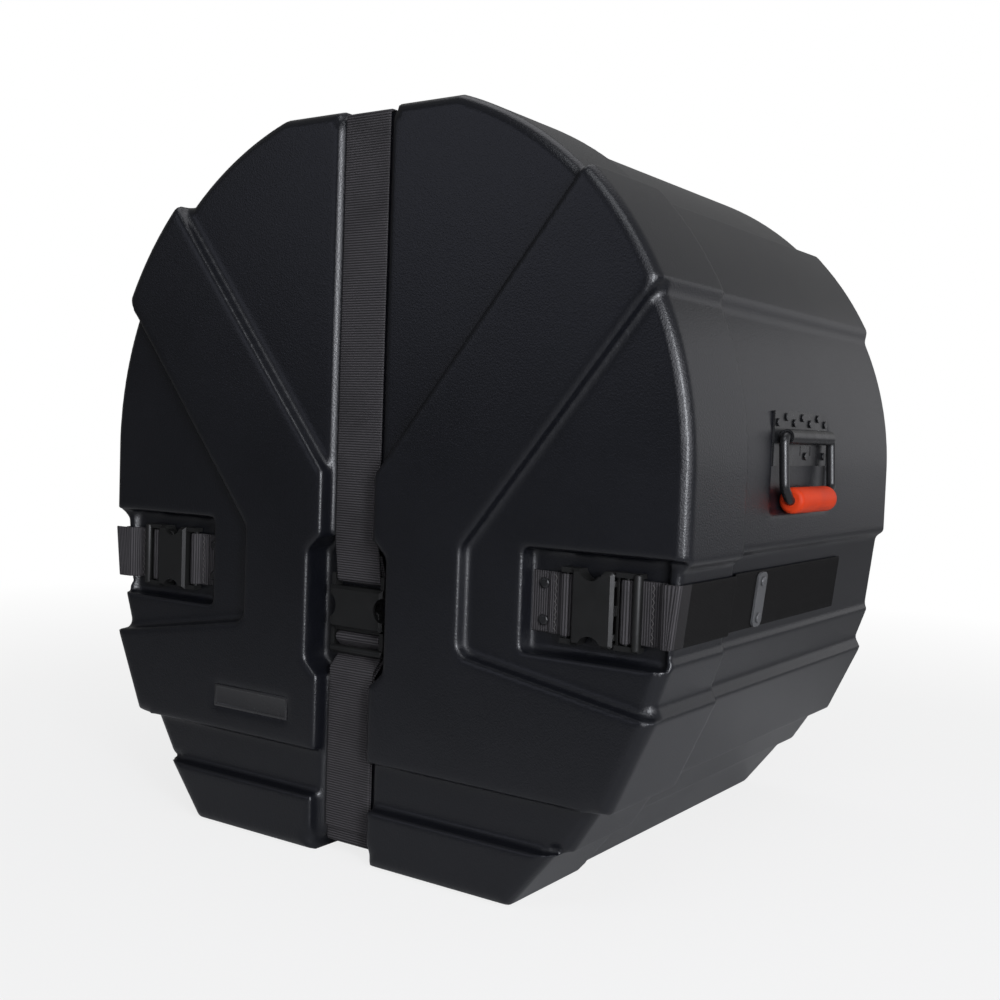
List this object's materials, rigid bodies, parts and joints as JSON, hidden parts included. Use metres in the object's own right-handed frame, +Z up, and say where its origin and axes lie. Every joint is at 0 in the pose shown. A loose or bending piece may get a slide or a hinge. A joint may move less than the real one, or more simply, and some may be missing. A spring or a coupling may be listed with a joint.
{
  "type": "drum case",
  "caption": "Hard moulded bass drum case that stands upright, with a pull-off front lid, webbing straps in side release buckles, a swinging handle on each side and a foam-lined round inside.",
  "frame": {"origin": "on the floor below the middle of the closed case", "axes": "+Z up, -Y the way the lid faces and pulls off, +X to the right hand of a person who faces the lid"},
  "size_m": [0.6706, 0.5, 0.66],
  "materials": {
    "shell": "satin",
    "plate": "gloss",
    "foam": "matte",
    "webbing": "matte",
    "buckle": "satin",
    "black_steel": "gloss",
    "grip": "satin"
  },
  "bodies": {
    "case": {"body_shell": "shell", "body_foam": "foam", "back_pad": "foam", "keeper_right": "black_steel", "keeper_right_rivet_1": "black_steel", "keeper_right_rivet_2": "black_steel", "keeper_left": "black_steel", "keeper_left_rivet_1": "black_steel", "keeper_left_rivet_2": "black_steel", "keeper_top": "black_steel", "keeper_top_rivet_1": "black_steel", "keeper_top_rivet_2": "black_steel", "keeper_floor": "black_steel", "keeper_floor_rivet_1": "black_steel", "keeper_floor_rivet_2": "black_steel", "long_strap_right": "webbing", "long_strap_left": "webbing", "centre_strap_upper": "webbing", "centre_strap_lower": "webbing", "handle_right_plate": "black_steel", "handle_right_backing": "black_steel", "handle_left_plate": "black_steel", "handle_left_backing": "black_steel"},
    "lid": {"lid_shell": "shell", "name_plate": "plate", "lid_pad": "foam", "anchor_strap_right": "webbing", "anchor_right_rivet_1": "black_steel", "anchor_right_rivet_2": "black_steel", "anchor_strap_left": "webbing", "anchor_left_rivet_1": "black_steel", "anchor_left_rivet_2": "black_steel", "buckle_right_housing": "buckle", "buckle_left_housing": "buckle", "buckle_centre_housing": "buckle"},
    "right_buckle": {"buckle_right_frame": "buckle"},
    "right_prong_1": {"buckle_right_prong_1": "buckle"},
    "right_prong_2": {"buckle_right_prong_2": "buckle"},
    "left_buckle": {"buckle_left_frame": "buckle"},
    "left_prong_1": {"buckle_left_prong_1": "buckle"},
    "left_prong_2": {"buckle_left_prong_2": "buckle"},
    "centre_buckle": {"buckle_centre_frame": "buckle"},
    "centre_prong_1": {"buckle_centre_prong_1": "buckle"},
    "centre_prong_2": {"buckle_centre_prong_2": "buckle"},
    "right_handle": {"handle_right_bail": "black_steel", "handle_right_grip": "grip"},
    "left_handle": {"handle_left_bail": "black_steel", "handle_left_grip": "grip"}
  },
  "joints": [
    {"name": "lid_slide", "type": "slide", "parent": "case", "child": "lid", "axis": [0, -1, 0], "range_m": [0, 0.12], "deforming": ["long_strap_right", "long_strap_left", "centre_strap_upper", "centre_strap_lower"]},
    {"name": "right_buckle_slide", "type": "slide", "parent": "lid", "child": "right_buckle", "axis": [1, 0, 0], "range_m": [0, 0.0187], "deforming": ["long_strap_right"]},
    {"name": "left_buckle_slide", "type": "slide", "parent": "lid", "child": "left_buckle", "axis": [-1, 0, 0], "range_m": [0, 0.0187], "deforming": ["long_strap_left"]},
    {"name": "centre_buckle_slide", "type": "slide", "parent": "lid", "child": "centre_buckle", "axis": [0, 0, -1], "range_m": [0, 0.019], "deforming": ["centre_strap_lower"]},
    {"name": "right_squeeze_1", "type": "hinge", "parent": "right_buckle", "child": "right_prong_1", "pos_m": [0.2598, -0.2275, 0.2663], "axis": [0, -1, 0], "range_deg": [0, 8], "stiffness_Nm_per_rad": 0.05},
    {"name": "right_squeeze_2", "type": "hinge", "parent": "right_buckle", "child": "right_prong_2", "pos_m": [0.2598, -0.2275, 0.2297], "axis": [0, 1, 0], "range_deg": [0, 8], "stiffness_Nm_per_rad": 0.05},
    {"name": "left_squeeze_1", "type": "hinge", "parent": "left_buckle", "child": "left_prong_1", "pos_m": [-0.2598, -0.2275, 0.2663], "axis": [0, 1, 0], "range_deg": [0, 8], "stiffness_Nm_per_rad": 0.05},
    {"name": "left_squeeze_2", "type": "hinge", "parent": "left_buckle", "child": "left_prong_2", "pos_m": [-0.2598, -0.2275, 0.2297], "axis": [0, -1, 0], "range_deg": [0, 8], "stiffness_Nm_per_rad": 0.05},
    {"name": "centre_squeeze_1", "type": "hinge", "parent": "centre_buckle", "child": "centre_prong_1", "pos_m": [0.0183, -0.2275, 0.203], "axis": [0, -1, 0], "range_deg": [0, 8], "stiffness_Nm_per_rad": 0.05},
    {"name": "centre_squeeze_2", "type": "hinge", "parent": "centre_buckle", "child": "centre_prong_2", "pos_m": [-0.0183, -0.2275, 0.203], "axis": [0, 1, 0], "range_deg": [0, 8], "stiffness_Nm_per_rad": 0.05},
    {"name": "right_handle_swing", "type": "hinge", "parent": "case", "child": "right_handle", "pos_m": [0.32069, 0, 0.3875], "axis": [0, -1, 0], "range_deg": [0, 80]},
    {"name": "left_handle_swing", "type": "hinge", "parent": "case", "child": "left_handle", "pos_m": [-0.32069, 0, 0.3875], "axis": [0, 1, 0], "range_deg": [0, 80]}
  ],
  "couplings": [
    {"joint": "right_squeeze_2", "follows": "right_squeeze_1", "ratio": 1},
    {"joint": "left_squeeze_2", "follows": "left_squeeze_1", "ratio": 1},
    {"joint": "centre_squeeze_2", "follows": "centre_squeeze_1", "ratio": 1}
  ]
}
